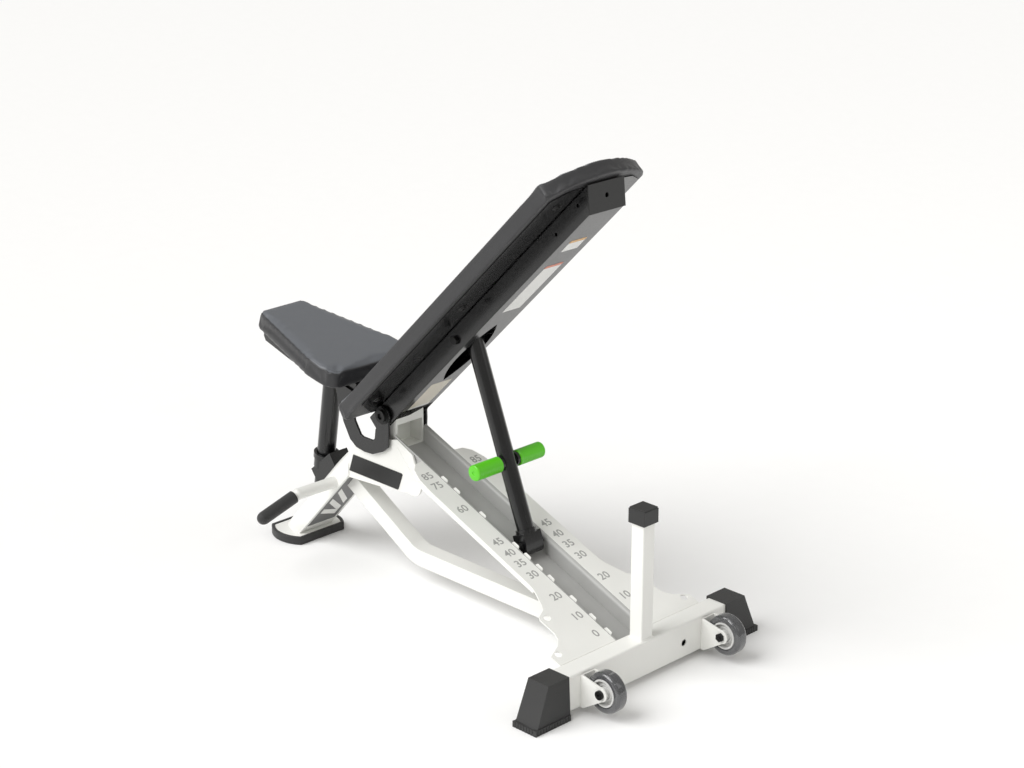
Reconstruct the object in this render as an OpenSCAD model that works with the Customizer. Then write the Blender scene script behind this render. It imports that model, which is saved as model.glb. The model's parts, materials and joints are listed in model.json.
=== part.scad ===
// Adjustable weight bench with a ladder-style backrest support.
// Millimetres, +Z up, floor at z = 0, seat towards -X, wheels towards +X.

/* [Backrest] */
// Backrest angle above level at rest
back_angle = 45; // [40:1:50]
// Length of the backrest pad
back_pad_len = 956; // [945:1:965]
// Width of the backrest pad
back_pad_w = 294; // [280:1:300]
// Thickness of the backrest pad over its board
back_pad_t = 30; // [24:1:36]
// Width of the backrest box beam
beam_w = 105; // [100:1:108]
// Depth of the backrest box beam
beam_h = 47; // [46:0.5:50]
// Height of the main pivot above the floor
pivot_z = 405.5; // [404:0.5:408]

/* [Seat] */
// Seat slope at rest, front edge up
seat_tilt = 10.2; // [8:0.2:12]
// Full width of the seat pad behind its front corners
seat_front_w = 150; // [140:2:160]
// Full width of the seat pad at its widest point
seat_wide_w = 268; // [260:2:290]
// Thickness of the seat pad over its board
seat_pad_t = 33; // [28:1:38]
// Diameter of the seat post
seat_post_d = 44; // [42:0.5:45]

/* [Support strut] */
// Distance along the backrest from the main pivot to the strut pivot
strut_reach = 330; // [326:1:334]
// Strut length from its pivot to its foot pin
strut_len = 470; // [466:1:474]
// Outer diameter of the strut tube
strut_d = 38; // [34:0.5:39]
// Outer diameter of the hand grips
grip_d = 36; // [32:1:38]

/* [Floor frame] */
// Length of the rear cross tube
cross_len = 600; // [590:2:620]
// Height of the rear cross tube
cross_h = 80; // [78:1:82]
// Side of the square support post
post_w = 35; // [32:1:38]
// Slope of the ladder deck
deck_angle = 21.8; // [21:0.1:22.6]
// Sheet thickness of the deck
sheet_t = 3; // [2.5:0.5:4]
// Side of the square lower brace
brace_w = 40; // [36:1:44]

/* [Wheels] */
// Diameter of the transport wheels
wheel_d = 90; // [84:2:96]
// Width of the transport wheels
wheel_w = 30; // [26:1:32]

/* [Hidden] */
$fn = 64;
big = 2000;                     // larger than the whole bench

// rear cross tube
cross_w = 50;
cross_x = 502;                  // front face of the tube
cross_z = 13;                   // underside of the tube
cross_rear = cross_x + cross_w;
cross_top = cross_z + cross_h;

// main pivot, shared by the seat frame and the backrest
pivot_x = -206;
bolt_d = 16;
sleeve_d = 22;
ring_y = 54.5;                  // inner face of the seat hook plates
ring_t = 5.5;
fit = 0.05;                     // radial running clearance of every pivot

// ladder deck; u runs up the slope from the cross tube, w is normal to the deck
deck_z = 91.6;
channel_y = 40;
channel_deep = 40;
bend_r = 9;
foot_drop = 10;                 // foot pin below the deck plane
rack_t = 2;                     // thickness of the toothed strips
column_rear = -180;             // rear edge of the pivot column
rack_angles = [0, 10, 20, 30, 35, 40, 45, 60, 75, 85];

// strut geometry, solved from the two pivots and the deck line
function strut_pin(a) = [pivot_x + strut_reach * cos(a), pivot_z + strut_reach * sin(a)];
function to_u(p) = (cross_x - p[0]) * cos(deck_angle) + (p[1] - deck_z) * sin(deck_angle);
function to_w(p) = (p[0] - cross_x) * sin(deck_angle) + (p[1] - deck_z) * cos(deck_angle);
function foot_u(a) = to_u(strut_pin(a)) - sqrt(pow(strut_len, 2) - pow(to_w(strut_pin(a)) + foot_drop, 2));
function deck_xz(u, w) = [cross_x - u * cos(deck_angle) + w * sin(deck_angle),
                          deck_z + u * sin(deck_angle) + w * cos(deck_angle)];
foot = deck_xz(foot_u(back_angle), -foot_drop);
top_pin = strut_pin(back_angle);
strut_lean = atan2(foot[0] - top_pin[0], top_pin[1] - foot[1]);
grip_z = 186;                    // height of the cross handle above the foot pin
bush_d = 18;
strut_bolt_d = 12;

// backrest, measured along (s) and square to (n) the line through the pivot
beam_top = beam_h / 2;
beam_wall = 3;
rail_t = 2.5;
board_t = 8;
board_low = beam_top + rail_t;
pad_start = -40;
pad_square = 868;               // where the straight sides end
screw_s = [51, 442, 825];
screw_y = 91;
flat_lift = 5.8;                // rise of the beam over the post cap at the flat stop

// seat, measured from the pivot with the pad level
seat_floor = 33;                // underside of the seat board
seat_beam_h = 41;
seat_rear = -96;
seat_front = -448;
seat_hinge = [-238, 12];
hinge_pin_d = 12;
post_foot_z = 135;              // lower end of the seat post

// front leg, d is the depth in front of its rear web
leg_lean = 42.4;
leg_r = 52;
leg_wall = 3.5;
sole_r = 87;
sole_x = -553;

wheel_x = 607;
wheel_z = 61.5;
wheel_y = 186.5;
axle_d = 10;

white = [0.95, 0.95, 0.94];
black = [0.07, 0.07, 0.07];
steel = [0.62, 0.62, 0.62];
green = [0.36, 0.80, 0.08];
rubber = [0.11, 0.11, 0.11];
vinyl = [0.16, 0.16, 0.17];

// ---- shared placing helpers ----

module at_back() {
    translate([pivot_x, 0, pivot_z]) rotate([0, -back_angle, 0]) children();
}

module at_seat() {
    translate([pivot_x, 0, pivot_z]) rotate([0, seat_tilt, 0]) children();
}

module at_deck() {
    translate([cross_x, 0, deck_z]) rotate([0, deck_angle, 0]) children();
}

module at_leg() {
    translate([-376, 0, 179]) rotate([0, leg_lean, 0]) children();
}

module at_strut() {
    translate([foot[0], 0, foot[1]]) rotate([0, -strut_lean, 0]) children();
}

module at_post() {
    at_seat() translate([seat_hinge[0], 0, seat_hinge[1]]) rotate([0, 9.2 - seat_tilt, 0]) children();
}

// plate drawn in x and z, standing between y0 and y1
module plate(y0, y1) {
    translate([0, y1, 0]) rotate([90, 0, 0]) linear_extrude(y1 - y0) children();
}

// round bar along y between y0 and y1
module bar(d, y0, y1) {
    translate([0, y0, 0]) rotate([-90, 0, 0]) cylinder(d = d, h = y1 - y0);
}

// points on a circle about c, from angle a0 to a1
function arc(c, r, a0, a1, n) =
    [for (i = [0 : n]) c + r * [cos(a0 + (a1 - a0) * i / n), sin(a0 + (a1 - a0) * i / n)]];

module both_sides() {
    children();
    mirror([0, 1, 0]) children();
}

// hexagon head or nut along y
module hex(af, y0, y1) {
    translate([0, y1, 0]) rotate([90, 0, 0])
        linear_extrude(y1 - y0)
            intersection_for(a = [0, 60, 120]) rotate(a) square([af, 3 * af], center = true);
}

// ---- rear frame ----

module cross_tube() {
    color(white)
        difference() {
            translate([cross_x, -cross_len / 2, cross_z]) cube([cross_w, cross_len, cross_h]);
            translate([cross_x + 3, -big / 2, cross_z + 3]) cube([cross_w - 6, big, cross_h - 6]);
            translate([cross_rear - 5, 111, 48]) rotate([0, 90, 0]) cylinder(d = 15, h = 10);
        }
}

// side view of a boot: wider at the floor than at the tube
module boot_side() {
    polygon([
        [cross_x - 6.5, 13], [cross_x - 6.5, 0], [cross_rear + 10, 0], [cross_rear + 10, 13],
        [cross_rear + 7.5, 13], [cross_rear + 3.5, cross_top + 3],
        [cross_x - 3.5, cross_top + 3], [cross_x - 4.5, 13]
    ]);
}

// end view of a boot: the outer face flares to the floor lip
module boot_end() {
    polygon([[244, 0], [346, 0], [346, 13], [338, 13], [304, cross_top + 3], [244, cross_top + 3]]);
}

module boot_right() {
    color(rubber)
        difference() {
            intersection() {
                plate(240, 350) boot_side();
                translate([cross_x - 20, 0, 0]) rotate([90, 0, 90]) linear_extrude(100) boot_end();
            }
            translate([cross_x, 200, cross_z]) cube([cross_w, cross_len / 2 - 200, cross_h]);
            for (y = [252 : 8 : 340])
                for (x = [cross_x - 6.5, cross_rear + 10])
                    translate([x, y, -1]) cylinder(d = 2.5, h = 14);
            for (x = [cross_x + 2 : 8 : cross_rear + 4])
                translate([x, 346, -1]) cylinder(d = 2.5, h = 14);
        }
}

module boot_left() {
    mirror([0, 1, 0]) boot_right();
}

module support_post() {
    color(white)
        translate([cross_x + 9, 0, cross_top])
            difference() {
                translate([0, -post_w / 2, 0]) cube([post_w, post_w, 354 - cross_top]);
                translate([2.5, 2.5 - post_w / 2, -1]) cube([post_w - 5, post_w - 5, big]);
            }
}

module post_cap() {
    cap_w = post_w + 9;
    cap_top = pivot_z - beam_top + flat_lift;
    color(black)
        translate([cross_x + 9 + post_w / 2, 0, 0])
            difference() {
                union() {
                    translate([-cap_w / 2, -cap_w / 2, 353]) cube([cap_w, cap_w, cap_top - 356]);
                    translate([0, 0, cap_top - 3])
                        linear_extrude(3) square(cap_w - 3, center = true);
                }
                translate([-post_w / 2, -post_w / 2, 300]) cube([post_w, post_w, 54]);
            }
}

// ---- transport wheels ----

module bracket_outline() {
    difference() {
        union() {
            polygon([
                [cross_rear, 14], [cross_rear + 8, 14], [wheel_x + 6, wheel_z - 14],
                [wheel_x + 6, wheel_z + 14], [cross_rear + 8, 86], [cross_rear, 86]
            ]);
            translate([wheel_x, wheel_z]) circle(r = 16);
        }
        translate([wheel_x, wheel_z]) circle(d = axle_d);
    }
}

module wheel_bracket_right() {
    color(white) {
        plate(wheel_y - wheel_w / 2 - 6, wheel_y - wheel_w / 2 - 2) bracket_outline();
        plate(wheel_y + wheel_w / 2 + 2, wheel_y + wheel_w / 2 + 6) bracket_outline();
        translate([cross_rear, wheel_y - wheel_w / 2 - 3, 14]) cube([3, wheel_w + 6, 72]);
    }
}

module wheel_bracket_left() {
    mirror([0, 1, 0]) wheel_bracket_right();
}

module wheel_axle_right() {
    half = wheel_w / 2 + 6;
    color(steel)
        translate([wheel_x, wheel_y, wheel_z]) {
            bar(axle_d, -half - 9, half + 2);
            difference() {
                bar(20, half, half + 6);
                bar(8, half + 3, half + 7);
            }
            hex(17, -half - 7, -half);
        }
}

module wheel_axle_left() {
    mirror([0, 1, 0]) wheel_axle_right();
}

module wheel_hub_right() {
    color(steel)
        translate([wheel_x, wheel_y, wheel_z])
            difference() {
                union() {
                    bar(60, -11, 11);
                    bar(24, -wheel_w / 2 - 1, wheel_w / 2 + 1);
                }
                for (s = [-1, 1])
                    difference() {
                        bar(50, s > 0 ? 6 : -12, s > 0 ? 12 : -6);
                        bar(32, -13, 13);
                    }
                bar(axle_d + 2 * fit, -20, 20);
            }
}

module wheel_hub_left() {
    mirror([0, 1, 0]) wheel_hub_right();
}

module wheel_tyre_right() {
    half = wheel_w / 2;
    color(rubber)
        translate([wheel_x, wheel_y, wheel_z]) rotate([-90, 0, 0])
            rotate_extrude($fn = 96)
                polygon([
                    [30, -11], [32, -11], [32, -half], [wheel_d / 2 - 6, -half],
                    [wheel_d / 2 - 2, 4 - half], [wheel_d / 2, -6], [wheel_d / 2, 6],
                    [wheel_d / 2 - 2, half - 4], [wheel_d / 2 - 6, half], [32, half],
                    [32, 11], [30, 11]
                ]);
}

module wheel_tyre_left() {
    mirror([0, 1, 0]) wheel_tyre_right();
}

// ---- ladder deck ----

// outline of one deck wing, seen square to the sheet, with its two floor-bolt ears
module wing_outline() {
    difference() {
        polygon([
            [8, channel_y], [8, 214], [-29, 215], [-34, 204], [-46, 178], [-60, 164],
            [-78, 158], [-122, 159], [-130, 154], [-142, 130], [-158, 122], [-192, 108],
            [-212, 104], [-545, 102], [-585, 99], [-617, 88], [-632, 72], [-636, channel_y]
        ]);
        translate([-27, 195]) circle(d = 16);
        translate([-119.5, 140]) circle(d = 16);
    }
}

// section of a channel wall and its round bend into the wing
module wall_section() {
    difference() {
        translate([channel_y, sheet_t - channel_deep]) square([bend_r, channel_deep - sheet_t]);
        translate([channel_y + sheet_t, -channel_deep - 1]) square([big, channel_deep - bend_r + 1]);
        translate([channel_y + bend_r, -bend_r]) circle(r = bend_r - sheet_t);
        difference() {
            translate([channel_y - 1, -bend_r]) square(bend_r + 1);
            translate([channel_y + bend_r, -bend_r]) circle(r = bend_r);
        }
    }
}

// room between the pivot column and the cross tube
module deck_room() {
    translate([column_rear, -big / 2, 0]) cube([cross_x - column_rear, big, big]);
}

// where a ladder tooth stands up through the deck, in local x
module each_tooth() {
    for (a = rack_angles) translate([-foot_u(a), 0, 0]) children();
}

module deck_wing_right() {
    color(white)
        intersection() {
            at_deck() {
                translate([0, 0, -sheet_t]) linear_extrude(sheet_t)
                    difference() {
                        wing_outline();
                        translate([-big / 2, 0]) square([big, channel_y + bend_r]);
                    }
                translate([-585, 99, -14]) cube([385, 3, 14 - sheet_t]);
            }
            deck_room();
        }
}

module deck_wing_left() {
    mirror([0, 1, 0]) deck_wing_right();
}

module channel_wall_left() {
    color(white)
        intersection() {
            at_deck()
                difference() {
                    translate([20, 0, 0]) rotate([90, 0, -90]) linear_extrude(800) wall_section();
                    each_tooth() translate([-19, -channel_y - 7, -12]) cube([28, 8, 13]);
                }
            deck_room();
        }
}

// the far wall has no notches
module channel_wall_right() {
    color(white)
        intersection() {
            at_deck() translate([20, 0, 0]) mirror([0, 1, 0]) rotate([90, 0, -90])
                linear_extrude(800) wall_section();
            deck_room();
        }
}

module channel_floor() {
    color(white)
        intersection() {
            at_deck() translate([-780, -channel_y - sheet_t, -channel_deep])
                cube([800, 2 * (channel_y + sheet_t), sheet_t]);
            deck_room();
        }
}

// strip on the outside of a channel wall, with or without teeth that stand above the deck
module rack_strip(toothed) {
    color(white)
        intersection() {
            at_deck()
                plate(-channel_y - sheet_t - rack_t, -channel_y - sheet_t) {
                    translate([-645, sheet_t - channel_deep]) square([640, channel_deep - bend_r - 7]);
                    if (toothed)
                        for (a = rack_angles)
                            translate([-foot_u(a), 0])
                                polygon([[-13, -14], [8, -14], [8, 3], [5, 5], [-9, 5], [-13, 0]]);
                }
            translate([column_rear, -big / 2, 0]) cube([cross_x - column_rear - 1, big, big]);
        }
}

module rack_left() {
    rack_strip(true);
}

module rack_right() {
    mirror([0, 1, 0]) rack_strip(false);
}

// ---- centre frame ----

// block between the side plates that the column stands on
module core_block() {
    color(white)
        difference() {
            translate([column_rear - 42, -45, 235]) cube([42, 90, 90]);
            translate([column_rear - 38, -41, 239]) cube([34, 82, 82]);
        }
}

// channel that opens to the rear, with the bearing for the pivot sleeve at its head
module pivot_column() {
    front = pivot_x - 19;
    half = 41;
    wall = 4;
    color(white)
        difference() {
            plate(-half, half)
                difference() {
                    union() {
                        translate([pivot_x, pivot_z]) circle(r = 19);
                        polygon([
                            [front, 325], [column_rear, 325], [column_rear, pivot_z + 7],
                            [pivot_x, pivot_z + 12], [front, pivot_z]
                        ]);
                    }
                    translate([pivot_x, pivot_z]) circle(d = sleeve_d + 2 * fit);
                }
            translate([front + wall, wall - half, 300])
                cube([60, 2 * (half - wall), pivot_z - 322]);
        }
}

module side_plate_outline() {
    polygon(concat(
        [[-238, 224], [-337, 217], [-337, 286], [-300, 318], [-240, 336], [-169, 355], [-119, 332]],
        arc([-119, 261], 27, 36, -114, 15)
    ));
}

module side_plate_right() {
    color(white)
        difference() {
            plate(45, 50) side_plate_outline();
            translate([0, 50, 0])
                plate(-0.8, 1)
                    polygon([[-168, 336], [-166, 338], [-99, 268], [-101, 266]]);
        }
}

module side_plate_left() {
    mirror([0, 1, 0]) side_plate_right();
}

module badge_right() {
    color(black)
        plate(50, 52)
            polygon([[-334, 235], [-319, 278], [-155, 278], [-152, 275], [-166, 238], [-169, 235]]);
}

module badge_left() {
    mirror([0, 1, 0]) badge_right();
}

// side view of the lower brace, bent upwards towards the leg, drawn in from its faces by t
module brace_outline(t) {
    rise = 29.9;
    centre = [-128, 157];
    inner = centre[1] - 47 - brace_w + t;
    outer = centre[1] - 47 - t;
    climb = 250 * [-cos(rise), sin(rise)];
    low = arc(centre, outer, -90, -90 - rise, 8);
    high = arc(centre, inner, -90 - rise, -90, 8);
    polygon(concat(
        [[cross_x, centre[1] - outer]], low, [low[8] + climb, high[0] + climb],
        high, [[cross_x, centre[1] - inner]]
    ));
}

module lower_brace() {
    wall = 2.5;
    color(white)
        difference() {
            plate(-brace_w / 2, brace_w / 2) brace_outline(0);
            plate(wall - brace_w / 2, brace_w / 2 - wall) brace_outline(wall);
            at_leg() translate([-big, -big / 2, -big / 2]) cube([big, big, big]);
            at_deck() translate([-200, -channel_y - sheet_t, -channel_deep]) cube([300, 100, 100]);
        }
}

// ---- front leg and foot ----

module leg_section(r, back) {
    intersection() {
        translate([-8, 0]) circle(r = r, $fn = 96);
        translate([-200, -100]) square([200 - back, 200]);
    }
}

// clears the part of the leg above the deck-side cut and outside the floor plate
module leg_limits() {
    plate(-100, 100)
        polygon([[-337, 200], [-337, 286], [-448, 189], [-480, 230], [-700, 18], [-400, 18]]);
}

module leg_body() {
    intersection() {
        at_leg() translate([0, 0, -300]) linear_extrude(500) leg_section(leg_r, 0);
        leg_limits();
    }
}

// oblique bore that the seat post slides through
module post_way() {
    translate([-474.7, 0, 221]) rotate([0, 9.2, 0])
        translate([0, 0, -140]) cylinder(d = seat_post_d + 5.5, h = 220);
}

// slanted window in the leg's rear web: top and bottom edge at the right side, and its drop
module web_window(cut) {
    polygon([
        [cut[0] - 20, -33], [cut[0], -33],
        [cut[1] - cut[2], 28], [cut[1] - cut[2] - 22, 28]
    ]);
}

module front_leg() {
    color(white)
        difference() {
            leg_body();
            at_leg() translate([0, 0, -400]) linear_extrude(800) leg_section(leg_r - leg_wall, leg_wall);
            at_leg()
                for (cut = [[-14, -8, 84], [-62, -52, 74], [-112, -98, 44]])
                    translate([5, 0, 0]) rotate([0, -90, 0]) linear_extrude(12) web_window(cut);
            post_way();
        }
}

module foot_outline(r, front, rear) {
    intersection() {
        translate([sole_x, 0]) circle(r = r, $fn = 128);
        translate([front, -100]) square([rear - front, 200]);
    }
}

module foot_plate() {
    color(white)
        translate([0, 0, 12]) linear_extrude(6) foot_outline(sole_r - 8, -606, -506);
}

module foot_pad() {
    color(rubber)
        difference() {
            linear_extrude(20) foot_outline(sole_r, -614, -498);
            translate([0, 0, 12]) linear_extrude(20) foot_outline(sole_r - 8, -606, -506);
        }
}

// ---- lifting handle ----

handle_root = [-388, -38, 190];
handle_knee = [-403, -150, 184];
handle_tip = [-405, -251, 153.5];

module rod(a, b, d) {
    v = b - a;
    len = norm(v);
    translate(a) rotate([0, acos(v[2] / len), atan2(v[1], v[0])]) cylinder(d = d, h = len);
}

module handle_tube() {
    color(white)
        difference() {
            union() {
                rod(handle_root, handle_knee, 27);
                translate(handle_knee) sphere(d = 28);
                rod(handle_knee, handle_tip, 22);
            }
            at_leg() translate([0, 0, -400]) linear_extrude(800) leg_section(leg_r, 0);
        }
}

module handle_grip() {
    color(rubber)
        difference() {
            union() {
                rod(handle_knee + 0.12 * (handle_tip - handle_knee), handle_tip, 31);
                translate(handle_tip) sphere(d = 30);
            }
            rod(handle_knee, handle_tip, 22);
            translate(handle_knee) sphere(d = 28);
        }
}

// ---- seat post socket ----

module post_socket() {
    color(black)
        difference() {
            union() {
                plate(-27, 27)
                    polygon([[-501, 184], [-484, 162], [-446, 166], [-408, 205], [-433, 242]]);
                translate([-475.5, 0, 221]) rotate([0, 9.2, 0]) {
                    translate([0, 0, -30]) cylinder(d = seat_post_d + 12, h = 30);
                    translate([0, 0, -6]) cylinder(d = seat_post_d + 17, h = 13);
                }
            }
            leg_body();
            post_way();
        }
}

// ---- main pivot ----

module pivot_bolt() {
    end = ring_y + ring_t;
    color(steel)
        translate([pivot_x, 0, pivot_z]) {
            bar(bolt_d, -end - 1, end + 1);
            both_sides()
                difference() {
                    union() {
                        bar(40, end, end + 2.5);
                        bar(30, end, end + 8);
                    }
                    translate([0, end + 4, 0]) hex(14, 0, 8);
                }
        }
}

module pivot_sleeve() {
    color(steel)
        translate([pivot_x, 0, pivot_z])
            difference() {
                bar(sleeve_d, -53.5, 53.5);
                bar(bolt_d + 2 * fit, -60, 60);
            }
}

// ---- seat ----

module hook_outline() {
    difference() {
        polygon(concat(
            [
                [20, -30], [17, -73], [-2, -88], [-36, -103], [-64, -105], [-92, -101],
                [-113, -87], [-135, -50], [-150, -8], [-165, 46], [-98, 32],
                [-100, 10], [-95, -37], [-76, -66], [-68, -69], [-34, -69],
                [-28, -62], [-25, -40], [-19, -30]
            ],
            arc([0, 0], 22.5, 216, -31, 24)
        ));
        circle(d = bolt_d);
    }
}

module hook_plate_right() {
    color(black)
        translate([pivot_x, 0, pivot_z]) plate(ring_y, ring_y + ring_t) hook_outline();
}

module hook_plate_left() {
    mirror([0, 1, 0]) hook_plate_right();
}

module seat_beam() {
    low = seat_floor - seat_beam_h;
    color(black)
        at_seat()
            difference() {
                translate([0, 0, low])
                    linear_extrude(seat_beam_h)
                        polygon([
                            [seat_rear - 4, -ring_y], [seat_rear - 4, ring_y], [-330, ring_y],
                            [-446, 40], [-446, -40], [-330, -ring_y]
                        ]);
                translate([0, 0, low + 3])
                    linear_extrude(seat_beam_h - 6)
                        polygon([
                            [seat_rear - 7, 3 - ring_y], [seat_rear - 7, ring_y - 3], [-330, ring_y - 3],
                            [-443, 37], [-443, -37], [-330, 3 - ring_y]
                        ]);
                translate([seat_hinge[0] - 30, -25, low - 1]) cube([60, 50, 6]);
                translate([seat_hinge[0], 0, seat_hinge[1]]) bar(hinge_pin_d, -80, 80);
                plate(-80, 80) polygon([[-450, low - 1], [-450, low + 13], [-436, low - 1]]);
            }
}

// right half of the pad outline, front to rear
function seat_half(inset) = [
    [seat_front + inset, seat_front_w / 2 - 17 - inset],
    [seat_front + inset + 8, seat_front_w / 2 - 5 - inset],
    [seat_front + inset + 20, seat_front_w / 2 + 1 - inset],
    [-190, seat_wide_w / 2 - 3 - inset],
    [-150, seat_wide_w / 2 - inset],
    [-120 - inset / 2, seat_wide_w / 2 - 3 - inset],
    [-104 - inset, seat_wide_w / 2 - 14 - inset / 2],
    [seat_rear - 1 - inset, seat_wide_w / 2 - 26 - inset / 2]
];

module seat_outline(inset) {
    half = seat_half(inset);
    polygon(concat(half, [for (i = [len(half) - 1 : -1 : 0]) [half[i][0], -half[i][1]]]));
}

module seat_board() {
    color([0.45, 0.35, 0.22])
        at_seat() translate([0, 0, seat_floor]) linear_extrude(board_t)
            seat_outline(5);
}

module seat_pad() {
    color(vinyl)
        at_seat() translate([0, 0, seat_floor + board_t]) linear_extrude(seat_pad_t + 2)
            seat_outline(0);
}

module hinge_pin() {
    color(steel)
        at_seat() translate([seat_hinge[0], 0, seat_hinge[1]]) {
            bar(hinge_pin_d, -ring_y - 1, ring_y + 1);
            both_sides() bar(20, ring_y, ring_y + 5);
        }
}

module seat_post() {
    reach = (pivot_z + 53 - post_foot_z) / cos(9.2);
    color(black)
        at_post()
            difference() {
                translate([0, 0, -reach]) cylinder(d = seat_post_d, h = reach + 10);
                translate([0, 0, -reach - 1]) cylinder(d = seat_post_d - 6, h = reach - 20);
                bar(hinge_pin_d + 2 * fit, -30, 30);
            }
}

// ---- backrest ----

// side view of the box beam, cut on the slant at its head
module beam_side() {
    polygon([
        [-50, -8], [-20, -beam_top], [853.5, -beam_top], [892, beam_top], [-50, beam_top]
    ]);
}

// slot in the underside for the strut, pointed like an eye at both ends
module strut_slot() {
    half_len = 119.5;
    half_w = 33;
    r = (pow(half_len, 2) + pow(half_w, 2)) / (2 * half_w);
    translate([291, 0])
        intersection() {
            translate([0, r - half_w]) circle(r = r, $fn = 256);
            translate([0, half_w - r]) circle(r = r, $fn = 256);
        }
}

module back_beam() {
    half = beam_w / 2;
    inner = half - beam_wall;
    color(black)
        at_back()
            difference() {
                plate(-half, half) beam_side();
                plate(-inner, inner)
                    polygon([
                        [-60, beam_wall - beam_top], [900, beam_wall - beam_top],
                        [900, beam_top - beam_wall], [-60, beam_top - beam_wall]
                    ]);
                translate([-60, -inner, -beam_top - 1]) cube([110, 2 * inner, beam_wall + 20]);
                translate([0, 0, -beam_top - 1]) linear_extrude(beam_wall + 2) strut_slot();
                bar(sleeve_d + 2 * fit, -80, 80);
                translate([strut_reach, 0, 0]) bar(strut_bolt_d, -80, 80);
                for (p = [[749, -1], [842, 7]])
                    translate([p[0], 0, p[1]]) bar(8, -80, 80);
            }
}

module beam_cap() {
    color(black)
        at_back()
            translate([853.5, 0, -beam_top])
                rotate([0, 90 - atan2(beam_h, 38.5), 0])
                    difference() {
                        translate([0, -beam_w / 2, 0]) cube([3, beam_w, sqrt(pow(beam_h, 2) + pow(38.5, 2))]);
                        translate([-1, 0, 32]) rotate([0, 90, 0]) cylinder(d = 10, h = 6);
                    }
}

// wide flange on top of the beam that the pad board is screwed to
module pad_rail_right() {
    color(black)
        at_back()
            translate([0, 0, beam_top])
                linear_extrude(rail_t)
                    difference() {
                        polygon([
                            [-26, 40], [-26, 62], [39, 128], [855, 128], [878, 92], [884, 40]
                        ]);
                        for (s = screw_s) translate([s, screw_y]) circle(d = 8);
                    }
}

module pad_rail_left() {
    mirror([0, 1, 0]) pad_rail_right();
}

module pad_screws() {
    color(steel)
        at_back()
            both_sides()
                for (s = screw_s)
                    translate([s, screw_y, beam_top - 4]) {
                        cylinder(d = 15, h = 4);
                        cylinder(d = 8, h = 12);
                    }
}

// plan of the backrest pad: rounded lower corners and a bowed head
module pad_outline(inset) {
    w = back_pad_w / 2 - inset;
    low = pad_start + inset;
    bulge = pad_start + back_pad_len - pad_square;
    r = (pow(back_pad_w / 2, 2) + pow(bulge, 2)) / (2 * bulge);
    intersection() {
        union() {
            translate([low + 24, -w]) square([back_pad_len, 2 * w]);
            translate([low, 24 - w]) square([60, 2 * w - 48]);
            for (y = [24 - w, w - 24]) translate([low + 24, y]) circle(r = 23.9);
        }
        union() {
            translate([pad_start + back_pad_len - r, 0]) circle(r = r - inset, $fn = 128);
            translate([pad_start - 1, -big / 2]) square([pad_square - pad_start - inset, big]);
        }
    }
}

module back_board() {
    color([0.45, 0.35, 0.22])
        at_back() translate([0, 0, board_low])
            difference() {
                linear_extrude(board_t)
                    intersection() {
                        pad_outline(5);
                        translate([-25, -big / 2]) square(big);
                    }
                both_sides()
                    for (s = screw_s) translate([s, screw_y, -1]) cylinder(d = 8, h = 7);
            }
}

module back_pad() {
    color(vinyl)
        at_back() translate([0, 0, board_low + board_t]) linear_extrude(back_pad_t) pad_outline(0);
}

// ---- support strut ----

module strut_bolt() {
    half = beam_w / 2;
    color(steel)
        at_back() translate([strut_reach, 0, 0]) {
            bar(strut_bolt_d, -half - 2, half + 2);
            hex(18, -half - 8, -half);
            hex(18, half, half + 8);
        }
}

module strut_bush() {
    color(steel)
        translate([top_pin[0], 0, top_pin[1]])
            difference() {
                bar(bush_d, -48.5, 48.5);
                bar(strut_bolt_d + 2 * fit, -60, 60);
            }
}

module strut_tube() {
    color(black)
        at_strut()
            difference() {
                translate([0, 0, 26]) cylinder(d = strut_d, h = strut_len - 26 + 12);
                translate([0, 0, 42]) cylinder(d = strut_d - 6, h = strut_len);
                translate([0, 0, strut_len]) {
                    bar(bush_d + 2 * fit, -30, 30);
                    difference() {
                        translate([-30, -30, 0]) cube([60, 60, 30]);
                        bar(strut_d + 0.5, -40, 40);
                    }
                }
                translate([0, 0, grip_z]) bar(20, -30, 30);
            }
}

module grip_bar() {
    color(black)
        at_strut() translate([0, 0, grip_z])
            difference() {
                union() {
                    bar(20, -98, 98);
                    both_sides() bar(30, strut_d / 2 + 0.5, 27);
                }
                translate([0, 0, -0.01]) bar(14, -110, 110);
            }
}

module grip_right() {
    color(green)
        at_strut() translate([0, 0, grip_z])
            difference() {
                bar(grip_d, 27, 101);
                bar(20, 20, 98);
            }
}

module grip_left() {
    mirror([0, 1, 0]) grip_right();
}

// foot of the strut: a block on the foot pin that drops into the channel
module strut_hook() {
    shoe = [2, -9];
    color(black)
        at_strut()
            difference() {
                union() {
                    plate(-26, 26)
                        polygon(concat(
                            [[-18, -2], [-18, 26], [18, 26], [18, 4]],
                            arc(shoe, 13.5, 10, -170, 10)
                        ));
                    translate([0, 0, 24]) cylinder(d = 46, h = 10);
                }
                bar(12, -60, 60);
                translate([0, 0, 26]) cylinder(d = strut_d, h = 10);
            }
}

module foot_pin() {
    color(steel)
        at_strut()
            union() {
                bar(12, -channel_y + 1, channel_y - 1);
                both_sides() bar(18, 26, 30);
            }
}

// ---- node switch ----

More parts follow.
